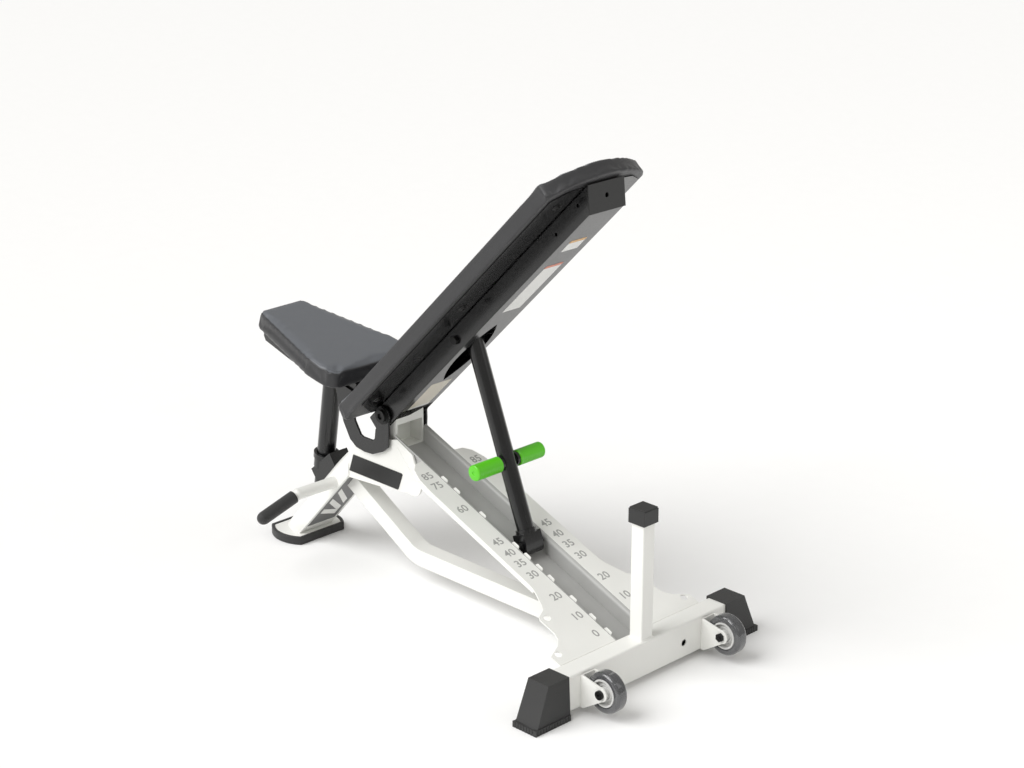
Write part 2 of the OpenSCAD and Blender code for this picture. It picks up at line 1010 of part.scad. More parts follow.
cross_tube();
boot_left();
boot_right();
support_post();
post_cap();
wheel_bracket_left();
wheel_bracket_right();
wheel_axle_left();
wheel_axle_right();
wheel_hub_left();
wheel_hub_right();
wheel_tyre_left();
wheel_tyre_right();
deck_wing_left();
deck_wing_right();
channel_wall_left();
channel_wall_right();
channel_floor();
rack_left();
rack_right();
core_block();
pivot_column();
side_plate_left();
side_plate_right();
badge_left();
badge_right();
lower_brace();
front_leg();
foot_plate();
foot_pad();
handle_tube();
handle_grip();
post_socket();
pivot_bolt();
pivot_sleeve();
hook_plate_left();
hook_plate_right();
seat_beam();
seat_board();
seat_pad();
hinge_pin();
seat_post();
back_beam();
beam_cap();
pad_rail_left();
pad_rail_right();
pad_screws();
back_board();
back_pad();
strut_bolt();
strut_bush();
strut_tube();
grip_bar();
grip_left();
grip_right();
strut_hook();
foot_pin();
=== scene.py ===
"""Visual model of an adjustable weight bench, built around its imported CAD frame.

The bench stands on z = 0 with its seat towards -X and its wheels towards +X. All lengths in the
dataclass fields are in millimetres, and the meshes are in metres.
"""

from __future__ import annotations

import json
import logging
import math
from dataclasses import dataclass, field
from enum import Enum

import bmesh
import bpy
import numpy as np
from mathutils import Matrix, Vector
from mathutils.bvhtree import BVHTree


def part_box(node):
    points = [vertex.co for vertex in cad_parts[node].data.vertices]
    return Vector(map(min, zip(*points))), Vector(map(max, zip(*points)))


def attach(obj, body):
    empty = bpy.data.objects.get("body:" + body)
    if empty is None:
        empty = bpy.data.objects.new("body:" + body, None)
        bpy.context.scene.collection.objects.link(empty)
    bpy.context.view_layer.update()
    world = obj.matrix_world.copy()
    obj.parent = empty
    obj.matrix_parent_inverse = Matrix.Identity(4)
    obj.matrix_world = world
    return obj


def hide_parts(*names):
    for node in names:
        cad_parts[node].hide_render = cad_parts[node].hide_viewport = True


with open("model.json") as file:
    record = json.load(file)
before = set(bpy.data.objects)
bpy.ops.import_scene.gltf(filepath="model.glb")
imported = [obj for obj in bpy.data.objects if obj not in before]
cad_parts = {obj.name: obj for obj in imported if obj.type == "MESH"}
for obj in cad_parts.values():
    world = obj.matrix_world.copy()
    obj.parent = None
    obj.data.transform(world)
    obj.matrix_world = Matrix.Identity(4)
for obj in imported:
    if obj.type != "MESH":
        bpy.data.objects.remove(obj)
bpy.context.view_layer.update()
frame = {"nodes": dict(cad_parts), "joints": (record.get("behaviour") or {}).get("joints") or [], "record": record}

MM = 0.001
LOG = logging.getLogger("bench")
NODES = frame["nodes"]
PIVOT = Vector(next(j["pos_m"] for j in frame["joints"] if j["name"] == "seat_tilt"))


class Side(Enum):
    """The two sides of the bench, with the sign of their Y."""

    LEFT = -1
    RIGHT = 1

    def node(self, stem: str) -> str:
        """Returns the name of this side's node, such as grip_left."""
        return f"{stem}_{self.name.lower()}"


class Grain(Enum):
    """How a surface breaks up the light."""

    ORANGE_PEEL = "orange peel of a baked powder coat"
    PEBBLE = "pebbled cells of embossed vinyl or rubber"
    SATIN = "fine scratches of a plated or oiled metal"


# ---- node and colour helpers ----


def linear(hex_colour: str) -> tuple[float, float, float, float]:
    """Turns an sRGB hex colour into a linear RGBA colour.

    Args:
        hex_colour: Six hex digits, such as "f2f2ee".

    Returns:
        Linear red, green, blue and an alpha of 1.
    """
    channels = [int(hex_colour[i : i + 2], 16) / 255 for i in (0, 2, 4)]
    return tuple(c / 12.92 if c <= 0.04045 else ((c + 0.055) / 1.055) ** 2.4 for c in channels) + (1.0,)


def add_node(tree: bpy.types.NodeTree, kind: str, inputs: dict | None = None, **settings) -> bpy.types.Node:
    """Adds a node with its settings, values and links.

    Args:
        tree: Tree that gets the node.
        kind: Node type, such as "ShaderNodeBump".
        inputs: Value or source socket for each input, by name or index.
        settings: Properties to set on the node.

    Returns:
        The new node.
    """
    node = tree.nodes.new(kind)
    for name, value in settings.items():
        setattr(node, name, value)
    for key, value in (inputs or {}).items():
        if isinstance(value, bpy.types.NodeSocket):
            tree.links.new(value, node.inputs[key])
        else:
            node.inputs[key].default_value = value
    return node


# ---- finishes ----


@dataclass(frozen=True)
class Finish:
    """A real finish, and what it gives the eye.

    grain_mm is the real size of the surface's grain, and relief_mm its height. mottle is how far the
    colour wanders between shade and tone over mottle_mm.
    """

    name: str
    tone: str
    shade: str
    roughness: float
    grain: Grain
    grain_mm: float
    relief_mm: float
    metallic: float = 0.0
    coat: float = 0.0
    sheen: float = 0.0
    transmission: float = 0.0
    mottle_mm: float = 60.0
    rough_swing: float = 0.06

    def height(self, tree: bpy.types.NodeTree, place: bpy.types.NodeSocket) -> bpy.types.NodeSocket:
        """Adds the grain's height field.

        Args:
            tree: The material's tree.
            place: Vector that the pattern is laid on.

        Returns:
            Socket with a height from 0 to 1.
        """
        scale = 1 / (self.grain_mm * MM)
        if self.grain is Grain.PEBBLE:
            cells = add_node(
                tree, "ShaderNodeTexVoronoi", {"Vector": place, "Scale": scale, "Randomness": 0.9},
                feature="DISTANCE_TO_EDGE",
            )
            return add_node(
                tree, "ShaderNodeMapRange", {"Value": cells.outputs["Distance"], "From Max": 0.25},
                interpolation_type="SMOOTHSTEP",
            ).outputs["Result"]
        if self.grain is Grain.SATIN:
            stretched = add_node(tree, "ShaderNodeMapping", {"Vector": place, "Scale": (1, 0.08, 1)})
            place = stretched.outputs["Vector"]
        return add_node(
            tree, "ShaderNodeTexNoise", {"Vector": place, "Scale": scale, "Detail": 3.0, "Roughness": 0.45}
        ).outputs["Fac"]

    def build(self) -> bpy.types.Material:
        """Returns the node material of this finish, made once."""
        if self.name in bpy.data.materials:
            return bpy.data.materials[self.name]
        material = bpy.data.materials.new(self.name)
        material.use_nodes = True
        tree = material.node_tree
        shader = tree.nodes["Principled BSDF"]
        place = add_node(tree, "ShaderNodeTexCoord").outputs["Object"]
        mottle = add_node(
            tree, "ShaderNodeTexNoise", {"Vector": place, "Scale": 1 / (self.mottle_mm * MM), "Detail": 4.0}
        ).outputs["Fac"]
        colour = add_node(
            tree, "ShaderNodeMix", {"Factor": mottle, "A": linear(self.shade), "B": linear(self.tone)},
            data_type="RGBA",
        )
        self.link_colour(tree, colour.outputs["Result"], shader)
        rough = add_node(
            tree, "ShaderNodeMapRange",
            {"Value": mottle, "To Min": self.roughness - self.rough_swing,
             "To Max": self.roughness + self.rough_swing},
        )
        tree.links.new(rough.outputs["Result"], shader.inputs["Roughness"])
        bump = add_node(
            tree, "ShaderNodeBump",
            {"Height": self.height(tree, place), "Strength": 1.0, "Distance": self.relief_mm * MM},
        )
        tree.links.new(bump.outputs["Normal"], shader.inputs["Normal"])
        shader.inputs["Metallic"].default_value = self.metallic
        shader.inputs["Coat Weight"].default_value = self.coat
        shader.inputs["Coat Roughness"].default_value = 0.12
        shader.inputs["Sheen Weight"].default_value = self.sheen
        shader.inputs["Transmission Weight"].default_value = self.transmission
        return material

    def link_colour(self, tree: bpy.types.NodeTree, colour: bpy.types.NodeSocket, shader) -> None:
        """Joins the wandering colour to the shader's base colour."""
        tree.links.new(colour, shader.inputs["Base Color"])


@dataclass(frozen=True)
class CoverFinish(Finish):
    """Embossed vinyl whose top panel is a greyer, drier grip cloth than its glossy side band."""

    panel_tone: str = "686b70"

    def link_colour(self, tree: bpy.types.NodeTree, colour: bpy.types.NodeSocket, shader) -> None:
        """Mixes the panel's tone in where the mesh's panel attribute says that the top panel is."""
        panel = add_node(tree, "ShaderNodeAttribute", attribute_name="panel").outputs["Fac"]
        edge = add_node(
            tree, "ShaderNodeMapRange", {"Value": panel, "From Min": 0.42, "From Max": 0.58},
            interpolation_type="SMOOTHSTEP",
        ).outputs["Result"]
        mixed = add_node(
            tree, "ShaderNodeMix", {"Factor": edge, "A": colour, "B": linear(self.panel_tone)},
            data_type="RGBA",
        )
        tree.links.new(mixed.outputs["Result"], shader.inputs["Base Color"])


# Baked polyester powder on steel: an even, faintly pebbled satin white.
WHITE_POWDER = Finish("white_powder_coat", "f0f0ec", "eaeae6", 0.34, Grain.ORANGE_PEEL, 1.4, 0.03, coat=0.15)
# The white powder inside the channel, painted grey as painted shade for the channel's shaded interior.
CHANNEL_SHADE_POWDER = Finish("worn_powder_coat", "b6b6b4", "a6a6a4", 0.40, Grain.ORANGE_PEEL, 1.4, 0.03)
# A dark grey sheet on the leg's web: painted shade for the web's shaded rear face.
WEB_SHADE_SHEET = Finish("grey_web_film", "707070", "666666", 0.40, Grain.ORANGE_PEEL, 1.4, 0.02)
# The same powder in black, a little glossier, so that edges draw a soft grey line.
BLACK_POWDER = Finish("black_powder_coat", "121213", "0d0d0e", 0.25, Grain.ORANGE_PEEL, 1.2, 0.04, coat=0.25)
# Zinc plating, slightly brushed.
ZINC = Finish("zinc_plated_steel", "b4b4b0", "9c9c9a", 0.32, Grain.SATIN, 0.8, 0.01, metallic=1.0)
# Blackened steel bolts: an oily dark sheen.
BLACK_OXIDE = Finish("black_oxide_steel", "2b2b2b", "202020", 0.34, Grain.SATIN, 0.8, 0.01, metallic=0.6)
# Moulded rubber from a spark-eroded tool: dull with a fine even grain.
BOOT_RUBBER = Finish("moulded_rubber", "2b2b2b", "222222", 0.55, Grain.PEBBLE, 1.5, 0.08, sheen=0.1)
# Moulded polypropylene end caps.
CAP_PLASTIC = Finish("moulded_polypropylene", "292929", "202020", 0.42, Grain.ORANGE_PEEL, 0.9, 0.05)
# Dipped foam sleeve: soft and matt.
SLEEVE_RUBBER = Finish("dipped_foam_sleeve", "2e2e2e", "242424", 0.62, Grain.PEBBLE, 1.2, 0.1, sheen=0.2)
# Cast green urethane: bright, waxy and slightly glossy.
GREEN_URETHANE = Finish(
    "cast_green_urethane", "62d41c", "54c012", 0.33, Grain.ORANGE_PEEL, 2.0, 0.06, coat=0.2
)
# Clear smoke polyurethane tyre: the hub shows faintly through its glossy tread.
SMOKE_URETHANE = Finish(
    "smoke_polyurethane", "6e6f71", "626366", 0.06, Grain.ORANGE_PEEL, 6.0, 0.03,
    coat=0.8, transmission=0.5, rough_swing=0.03,
)
# Moulded nylon hub, pale and satin.
HUB_NYLON = Finish("moulded_nylon", "d4d4d2", "c4c4c2", 0.34, Grain.ORANGE_PEEL, 1.2, 0.03, coat=0.15)
# Anodised black plate.
BADGE_PLATE = Finish("anodised_black_plate", "2c2c2c", "242424", 0.30, Grain.SATIN, 0.8, 0.01, metallic=0.3)
# Embossed upholstery vinyl; its grain is drawn half as coarse again as the real 1 mm to show.
VINYL = CoverFinish(
    "embossed_vinyl", "323234", "29292b", 0.38, Grain.PEBBLE, 1.6, 0.08, sheen=0.05, mottle_mm=25.0,
    panel_tone="606368",
)
# Bonded nylon thread.
THREAD = Finish("bonded_nylon_thread", "3c3d40", "303134", 0.5, Grain.SATIN, 0.4, 0.02)
# Silk-screened grey ink.
SCALE_INK = Finish("screen_printed_ink", "a9a9a7", "9f9f9d", 0.5, Grain.ORANGE_PEEL, 1.5, 0.01)
# Printed polyester film stickers.
STICKER_WHITE = Finish(
    "white_polyester_film", "d8d8d4", "ccccca", 0.30, Grain.ORANGE_PEEL, 8.0, 0.01, coat=0.3
)
STICKER_AMBER = Finish(
    "amber_printed_film", "c9932f", "b98528", 0.32, Grain.ORANGE_PEEL, 8.0, 0.01, coat=0.3
)
STICKER_ORANGE = Finish(
    "orange_printed_film", "c4592c", "b54f25", 0.32, Grain.ORANGE_PEEL, 8.0, 0.01, coat=0.3
)
STICKER_BEIGE = Finish(
    "beige_printed_film", "cdc5b4", "c2baa9", 0.34, Grain.ORANGE_PEEL, 8.0, 0.01, coat=0.2
)

SLOT_FINISH = {
    "white_frame": WHITE_POWDER,
    "black_frame": BLACK_POWDER,
    "steel": ZINC,
    "bolt_black": BLACK_OXIDE,
    "boot_rubber": BOOT_RUBBER,
    "cap_plastic": CAP_PLASTIC,
    "grip_rubber": SLEEVE_RUBBER,
    "green_grip": GREEN_URETHANE,
    "tyre_pu": SMOKE_URETHANE,
    "hub_plastic": HUB_NYLON,
    "badge_plastic": BADGE_PLATE,
    "board": CAP_PLASTIC,
    "vinyl": VINYL,
}


# ---- mesh helpers ----


def new_piece(name: str, mesh: bpy.types.Mesh | bmesh.types.BMesh, finish: Finish, angle: float = 35.0):
    """Makes an object at the origin from a mesh that is already in place.

    Args:
        name: Name of the piece.
        mesh: Its mesh, or a BMesh, which is freed.
        finish: Its finish.
        angle: Edges that turn more than this many degrees stay sharp.

    Returns:
        The new object.
    """
    if isinstance(mesh, bmesh.types.BMesh):
        data = bpy.data.meshes.new(name)
        mesh.to_mesh(data)
        mesh.free()
        mesh = data
    mesh.materials.clear()
    mesh.materials.append(finish.build())
    mesh.polygons.foreach_set("use_smooth", [True] * len(mesh.polygons))
    mesh.set_sharp_from_angle(angle=math.radians(angle))
    piece = bpy.data.objects.new(name, mesh)
    bpy.context.scene.collection.objects.link(piece)
    return piece


def settle(piece: bpy.types.Object, body: str, replaces: tuple[str, ...] = ()) -> bpy.types.Object:
    """Puts a finished piece on its body.

    Args:
        piece: The piece.
        body: CAD body that it moves with.
        replaces: CAD nodes that it stands for.

    Returns:
        The same piece.
    """
    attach(piece, body)
    if replaces:
        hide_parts(*replaces)
    LOG.info("%s rides on %s, %d faces", piece.name, body, len(piece.data.polygons))
    return piece


def body_of(node: str) -> str:
    """Returns the name of the body that a CAD node belongs to."""
    return next(b for b, members in frame["record"]["behaviour"]["bodies"].items() if node in members)


def slot_of(node: str) -> str:
    """Returns the material slot of a CAD node."""
    return next(row["material_slot"] for row in frame["record"]["subparts"] if row["node"] == node)


def merged_copy(node: str) -> bmesh.types.BMesh:
    """Returns a copy of a CAD node's mesh with its loose triangles joined and its flats cleaned."""
    bm = bmesh.new()
    bm.from_mesh(NODES[node].data)
    bmesh.ops.remove_doubles(bm, verts=bm.verts, dist=0.004 * MM)
    bmesh.ops.dissolve_limit(bm, angle_limit=math.radians(0.2), verts=bm.verts, edges=bm.edges)
    return bm


def soften(
    node: str, radius: float, shortest: float = 0.0, segments: int = 2, finish: Finish | None = None
) -> bpy.types.Object:
    """Replaces a CAD node with a copy whose outer edges are rounded as a made part's are.

    Args:
        node: The CAD node.
        radius: Edge radius in mm.
        shortest: Only edges at least this long, in mm, are rounded.
        segments: Steps around the rounding.
        finish: Its finish, if it isn't the one of its slot.

    Returns:
        The new piece.
    """
    bm = merged_copy(node)
    edges = [
        e for e in bm.edges
        if len(e.link_faces) == 2
        and e.calc_face_angle(0) > math.radians(38)
        and (shortest == 0 or e.is_convex)
        and e.calc_length() >= shortest * MM
    ]
    if edges:
        bmesh.ops.bevel(
            bm, geom=edges, offset=radius * MM, segments=segments, profile=0.5,
            affect="EDGES", clamp_overlap=True, harden_normals=False,
        )
    bmesh.ops.remove_doubles(bm, verts=bm.verts, dist=0.002 * MM)
    piece = new_piece(f"{node}_made", bm, finish or SLOT_FINISH[slot_of(node)], angle=46)
    weigh = piece.modifiers.new("flat faces", "WEIGHTED_NORMAL")
    weigh.keep_sharp = True
    weigh.weight = 60
    return settle(piece, body_of(node), (node,))


def lathe(name: str, profile: list[tuple[float, float]], finish: Finish, to_world: Matrix, steps: int = 96):
    """Turns a closed profile about the local Y axis.

    Args:
        name: Name of the piece.
        profile: Points (radius, y) in mm, in order around the section.
        finish: Its finish.
        to_world: Places the local frame, in metres.
        steps: Steps around the axis.

    Returns:
        The new object.
    """
    bm = bmesh.new()
    rings = []
    for k in range(steps):
        turn = 2 * math.pi * k / steps
        rings.append([
            bm.verts.new(to_world @ Vector((r * math.cos(turn), y, r * math.sin(turn))))
            for r, y in [(r * MM, y * MM) for r, y in profile]
        ])
    count = len(profile)
    for k in range(steps):
        here, there = rings[k], rings[(k + 1) % steps]
        for i in range(count):
            j = (i + 1) % count
            bm.faces.new((here[i], there[i], there[j], here[j]))
    bmesh.ops.remove_doubles(bm, verts=bm.verts, dist=0.002 * MM)
    bmesh.ops.recalc_face_normals(bm, faces=bm.faces)
    return new_piece(name, bm, finish)


def fillet(
    corner: tuple[float, float], start: float, radius: float, steps: int = 5
) -> list[tuple[float, float]]:
    """Returns a quarter round.

    Args:
        corner: Centre of the round, as (radius, y) in mm.
        start: Angle of its first point in degrees, from the radius axis.
        radius: Its radius in mm.
        steps: Steps in the quarter turn.

    Returns:
        Its points, anticlockwise.
    """
    turns = [math.radians(start + 90 * k / steps) for k in range(steps + 1)]
    return [(corner[0] + radius * math.cos(t), corner[1] + radius * math.sin(t)) for t in turns]


# ---- repeats by Geometry Nodes ----


class Repeat(Enum):
    """Where a repeated unit stands."""

    PATH = "at even steps along a path, turned to follow it"
    POINTS = "at each point of the host"


def repeat_tree(way: Repeat) -> bpy.types.GeometryNodeTree:
    """Builds the Geometry Nodes tree that repeats a unit.

    Args:
        way: Where the units stand.

    Returns:
        A tree with the inputs Unit, Spacing and Finish.
    """
    tree = bpy.data.node_groups.new(f"repeat_{way.name.lower()}", "GeometryNodeTree")
    for name, kind in (
        ("Geometry", "NodeSocketGeometry"), ("Unit", "NodeSocketObject"),
        ("Spacing", "NodeSocketFloat"), ("Finish", "NodeSocketMaterial"),
    ):
        tree.interface.new_socket(name, in_out="INPUT", socket_type=kind)
    tree.interface.new_socket("Geometry", in_out="OUTPUT", socket_type="NodeSocketGeometry")
    given = add_node(tree, "NodeGroupInput").outputs
    unit = add_node(tree, "GeometryNodeObjectInfo", {"Object": given["Unit"]}).outputs["Geometry"]
    if way is Repeat.PATH:
        curve = add_node(tree, "GeometryNodeMeshToCurve", {"Mesh": given["Geometry"]})
        spots = add_node(
            tree, "GeometryNodeResampleCurve", {"Curve": curve.outputs["Curve"], "Length": given["Spacing"]},
            mode="LENGTH",
        )
        tangent = add_node(tree, "GeometryNodeInputTangent").outputs["Tangent"]
        turn = add_node(tree, "FunctionNodeAlignRotationToVector", {"Vector": tangent}, axis="X")
        placed = add_node(
            tree, "GeometryNodeInstanceOnPoints",
            {"Points": spots.outputs["Curve"], "Instance": unit, "Rotation": turn.outputs["Rotation"]},
        )
    else:
        spots = add_node(tree, "GeometryNodeMeshToPoints", {"Mesh": given["Geometry"]})
        placed = add_node(
            tree, "GeometryNodeInstanceOnPoints", {"Points": spots.outputs["Points"], "Instance": unit}
        )
    real = add_node(tree, "GeometryNodeRealizeInstances", {"Geometry": placed.outputs["Instances"]})
    dressed = add_node(
        tree, "GeometryNodeSetMaterial", {"Geometry": real.outputs["Geometry"], "Material": given["Finish"]}
    )
    add_node(tree, "NodeGroupOutput", {"Geometry": dressed.outputs["Geometry"]})
    return tree


def repeated(
    name: str, way: Repeat, spots: list[list[Vector]], unit: bpy.types.Object,
    spacing: float, finish: Finish, closed: bool = True,
) -> bpy.types.Object:
    """Repeats a unit over a host and returns the result as one plain mesh.

    Args:
        name: Name of the piece.
        way: Where the units stand.
        spots: The host's points in metres, one list for each path.
        unit: Object to repeat, which is removed afterwards.
        spacing: Distance between units along a path, in mm.
        finish: Finish of the units.
        closed: Whether each path comes back to its start.

    Returns:
        The new object.
    """
    verts = [p for path in spots for p in path]
    edges = []
    start = 0
    for path in spots:
        edges += [(start + i, start + i + 1) for i in range(len(path) - 1)]
        if closed:
            edges.append((start + len(path) - 1, start))
        start += len(path)
    host_mesh = bpy.data.meshes.new(f"{name}_host")
    host_mesh.from_pydata(verts, edges if way is Repeat.PATH else [], [])
    host = bpy.data.objects.new(f"{name}_host", host_mesh)
    bpy.context.scene.collection.objects.link(host)
    tree = repeat_tree(way)
    sockets = {s.name: s.identifier for s in tree.interface.items_tree if s.in_out == "INPUT"}
    modifier = host.modifiers.new("repeat", "NODES")
    modifier.node_group = tree
    modifier[sockets["Unit"]] = unit
    modifier[sockets["Spacing"]] = spacing * MM
    modifier[sockets["Finish"]] = finish.build()
    bpy.context.view_layer.update()
    graph = bpy.context.evaluated_depsgraph_get()
    mesh = bpy.data.meshes.new_from_object(host.evaluated_get(graph), depsgraph=graph)
    host.modifiers.clear()
    bpy.data.objects.remove(host)
    bpy.data.objects.remove(unit)
    bpy.data.node_groups.remove(tree)
    return new_piece(name, mesh, finish)


def bead_unit(name: str, length: float, width: float, height: float) -> bpy.types.Object:
    """Makes the small rounded bead that stitches and weld ripples are made of.

    Args:
        name: Name of the unit.
        length: Its size along X in mm.
        width: Its size along Y in mm.
        height: Its size along Z in mm.

    Returns:
        The unit, at the origin.
    """
    bm = bmesh.new()
    size = Matrix.Diagonal((length * MM / 2, width * MM / 2, height * MM / 2, 1))
    bmesh.ops.create_uvsphere(bm, u_segments=8, v_segments=5, radius=1.0, matrix=size)
    return new_piece(name, bm, THREAD, angle=180)


# ---- cushions ----


@dataclass
class Cushion:
    """A foam cushion on a board, in a vinyl cover with a stitched top panel.

    Local coordinates run along the cushion, across it and up from its board, from the main pivot.
    """

    name: str
    node: str
    board: str
    body: str
    to_world: Matrix
    floor: float
    slack: float = 3.5
    voxel: float = 6.0
    swell: float = 4.5
    seam_inset: float = 11.0
    groove: float = 1.3
    stitch: float = 5.5
    stitch_inset: float = 3.2
    seam_step: float = 8.0
    thread: float = 0.9
    pressure: float = 4.0
    frames: int = 20
    rim: np.ndarray = field(default=None, repr=False)
    top: float = 0.0

    def local_mesh(self) -> bmesh.types.BMesh:
        """Returns the CAD cushion in local coordinates and metres, and keeps its outline."""
        bm = merged_copy(self.node)
        bmesh.ops.transform(bm, matrix=self.to_world.inverted(), verts=bm.verts)
        self.top = max(v.co.z for v in bm.verts)
        upper = [f for f in bm.faces if f.calc_center_median().z > self.top - MM]
        cap = max(upper, key=lambda f: f.calc_area())
        self.rim = np.array([(v.co.x, v.co.y) for v in cap.verts])
        return bm

    def start_shape(self) -> bpy.types.Object:
        """Returns the slightly small block that the cover is blown up from."""
        bm = self.local_mesh()
        low = min(v.co.z for v in bm.verts)
        middle = (self.rim.min(0) + self.rim.max(0)) / 2
        half = (self.rim.max(0) - self.rim.min(0)) / 2
        shrink = 1 - self.slack * MM / half
        for v in bm.verts:
            v.co.x = middle[0] + (v.co.x - middle[0]) * shrink[0]
            v.co.y = middle[1] + (v.co.y - middle[1]) * shrink[1]
            v.co.z = self.floor * MM if v.co.z < low + MM else v.co.z - 0.8 * self.slack * MM
        block = new_piece(self.name, bm, VINYL, angle=180)
        remesh = block.modifiers.new("voxels", "REMESH")
        remesh.mode = "VOXEL"
        remesh.voxel_size = self.voxel * MM
        remesh.use_smooth_shade = True
        return self.applied(block)

    def applied(self, block: bpy.types.Object) -> bpy.types.Object:
        """Returns the object with its modifiers applied to its mesh."""
        bpy.context.view_layer.update()
        graph = bpy.context.evaluated_depsgraph_get()
        mesh = bpy.data.meshes.new_from_object(block.evaluated_get(graph), depsgraph=graph)
        block.modifiers.clear()
        block.data = mesh
        return block

    def inflate(self, block: bpy.types.Object) -> None:
        """Blows the cover up over its foam, with its underside held flat on the board."""
        before = self.points(block)
        held = block.vertex_groups.new(name="board")
        held.add([int(i) for i in np.where(before[:, 2] < self.floor * MM + 2 * MM)[0]], 1.0, "REPLACE")
        cloth = block.modifiers.new("cover", "CLOTH")
        cloth.settings.quality = 5
        cloth.settings.mass = 0.4
        cloth.settings.tension_stiffness = 25
        cloth.settings.compression_stiffness = 25
        cloth.settings.bending_stiffness = 4
        cloth.settings.use_pressure = True
        cloth.settings.uniform_pressure_force = self.pressure
        cloth.settings.vertex_group_mass = "board"
        cloth.settings.effector_weights.gravity = 0
        cloth.collision_settings.use_collision = False
        scene = bpy.context.scene
        for number in range(1, self.frames + 1):
            scene.frame_set(number)
        self.applied(block)
        scene.frame_set(1)
        moved = self.points(block) - before
        length = np.linalg.norm(moved, axis=1, keepdims=True)
        limit = np.minimum(1.0, self.swell * MM / np.maximum(length, 1e-9))
        block.data.vertices.foreach_set("co", (before + moved * limit).ravel())

    def points(self, block: bpy.types.Object) -> np.ndarray:
        """Returns the mesh's points, one in each row."""
        co = np.empty(len(block.data.vertices) * 3, np.float32)
        block.data.vertices.foreach_get("co", co)
        return co.reshape(-1, 3).astype(float)

    def depth_inside(self, points: np.ndarray) -> np.ndarray:
        """Returns how far each point lies inside the outline, in metres."""
        best = np.full(len(points), 1e9)
        for a, b in zip(self.rim, np.roll(self.rim, -1, axis=0)):
            along = b - a
            t = np.clip(((points - a) @ along) / max(along @ along, 1e-12), 0, 1)
            best = np.minimum(best, np.linalg.norm(points - (a + t[:, None] * along), axis=1))
        return best

    def sew(self, block: bpy.types.Object) -> None:
        """Adds one subdivision, presses the panel's seam into the top and marks the panel."""
        finer = block.modifiers.new("finer", "SUBSURF")
        finer.levels = finer.render_levels = 1
        self.applied(block)
        co = self.points(block)
        depth = self.depth_inside(co[:, :2])
        crown = np.clip((co[:, 2] - (self.top - 12 * MM)) / (6 * MM), 0, 1)
        dip = np.exp(-(((depth - self.seam_inset * MM) / (2.2 * MM)) ** 2)) * crown
        co[:, 2] -= self.groove * MM * dip
        co[:, 2] = np.maximum(co[:, 2], self.floor * MM)
        block.data.vertices.foreach_set("co", co.ravel())
        panel = block.data.attributes.new("panel", "FLOAT", "POINT")
        ramp = np.clip(0.5 + (depth - self.seam_inset * MM) / (6 * MM), 0, 1) * crown
        panel.data.foreach_set("value", ramp.astype(np.float32))

    def seam(self, block: bpy.types.Object, inset: float) -> list[Vector]:
        """Returns a line on the top of the cover, in metres.

        Args:
            block: The cushion in local coordinates.
            inset: Distance of the line from the outline in mm.

        Returns:
            The line's points in local coordinates.
        """
        middle = self.rim.mean(axis=0)
        half = (self.rim.max(0) - self.rim.min(0)) / 2
        scale = 1 - inset * MM / half
        tree = BVHTree.FromObject(block, bpy.context.evaluated_depsgraph_get())
        line = []
        for a, b in zip(self.rim, np.roll(self.rim, -1, axis=0)):
            count = max(1, int(np.linalg.norm(b - a) / (self.seam_step * MM)))
            for k in range(count):
                flat = middle + (a + (b - a) * k / count - middle) * scale
                hit = tree.ray_cast(Vector((flat[0], flat[1], self.top + 0.1)), Vector((0, 0, -1)))[0]
                if hit:
                    line.append(hit + Vector((0, 0, 0.1 * MM)))
        return line

    def make(self) -> None:
        """Builds the cushion and its stitches, and settles both."""
        block = self.start_shape()
        self.inflate(block)
        self.sew(block)
        bpy.context.view_layer.update()
        lines = [self.seam(block, self.seam_inset + self.stitch_inset)]
        block.data.transform(self.to_world)
        block.data.polygons.foreach_set("use_smooth", [True] * len(block.data.polygons))
        block.data.materials.clear()
        block.data.materials.append(VINYL.build())
        settle(block, self.body, (self.node, self.board))
        unit = bead_unit("stitch", 0.72 * self.stitch, self.thread, self.thread)
        thread = repeated(f"{self.name}_stitches", Repeat.PATH, lines, unit, self.stitch, THREAD)
        thread.data.transform(self.to_world)
        settle(thread, self.body)


# ---- sub-assemblies ----


@dataclass
class RearFrame:
    """Cross tube on two rubber boots, with the post that the level backrest rests on."""

    tube_corner: float = 5.0
    post_corner: float = 3.0
    boot_edge: float = 1.2
    cap_edge: float = 2.5

    def make(self) -> None:
        """Builds the rear frame."""
        soften("cross_tube", self.tube_corner, shortest=400, segments=4)
        soften("support_post", self.post_corner, shortest=150, segments=4)
        soften("post_cap", self.cap_edge, segments=3)
        for side in Side:
            soften(side.node("boot"), self.boot_edge, shortest=7)
        self.welds()

    def welds(self) -> None:
        """Lays a weld bead round the foot of the post."""
        low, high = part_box("support_post")
        out = 0.6 * MM
        corners = [
            Vector((low.x - out, low.y - out, low.z)), Vector((high.x + out, low.y - out, low.z)),
            Vector((high.x + out, high.y + out, low.z)), Vector((low.x - out, high.y + out, low.z)),
        ]
        unit = bead_unit("ripple", 4.5, 4.0, 4.0)
        bead = repeated("post_weld", Repeat.PATH, [corners], unit, 1.8, WHITE_POWDER)
        settle(bead, "frame")


